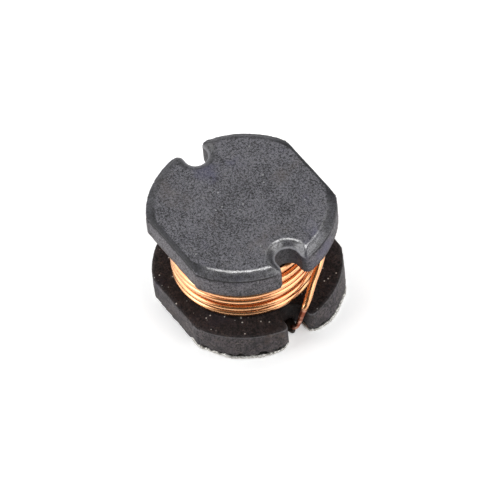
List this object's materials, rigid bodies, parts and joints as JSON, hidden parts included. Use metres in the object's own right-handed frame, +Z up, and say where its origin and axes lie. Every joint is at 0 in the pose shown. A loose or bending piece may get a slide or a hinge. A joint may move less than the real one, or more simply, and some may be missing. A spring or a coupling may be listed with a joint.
{
  "type": "smd power inductor",
  "caption": "Small surface-mount power inductor: enamelled copper wire wound on an open ferrite drum core with flats and notches, soldered to two terminals under the base.",
  "frame": {"origin": "centre of the footprint on the mounting plane, at the underside of the terminals", "axes": "+X through the notches from the rear terminal to the front one, +Y across the flats, +Z up from the board"},
  "size_m": [0.0076, 0.0072, 0.005],
  "materials": {
    "ferrite": "fired ferrite, tumbled, dull charcoal grey with fine pits",
    "enamelled_copper": "clear polyurethane enamel over bright copper",
    "terminal_plating": "fired silver paste with a tinned skin, uneven edges",
    "solder": "reflowed tin solder, softly rippled"
  },
  "bodies": {
    "root": {"drum_core": "ferrite", "winding": "enamelled_copper", "terminal_front": "terminal_plating", "terminal_rear": "terminal_plating", "solder_front": "solder", "solder_rear": "solder"}
  },
  "joints": []
}
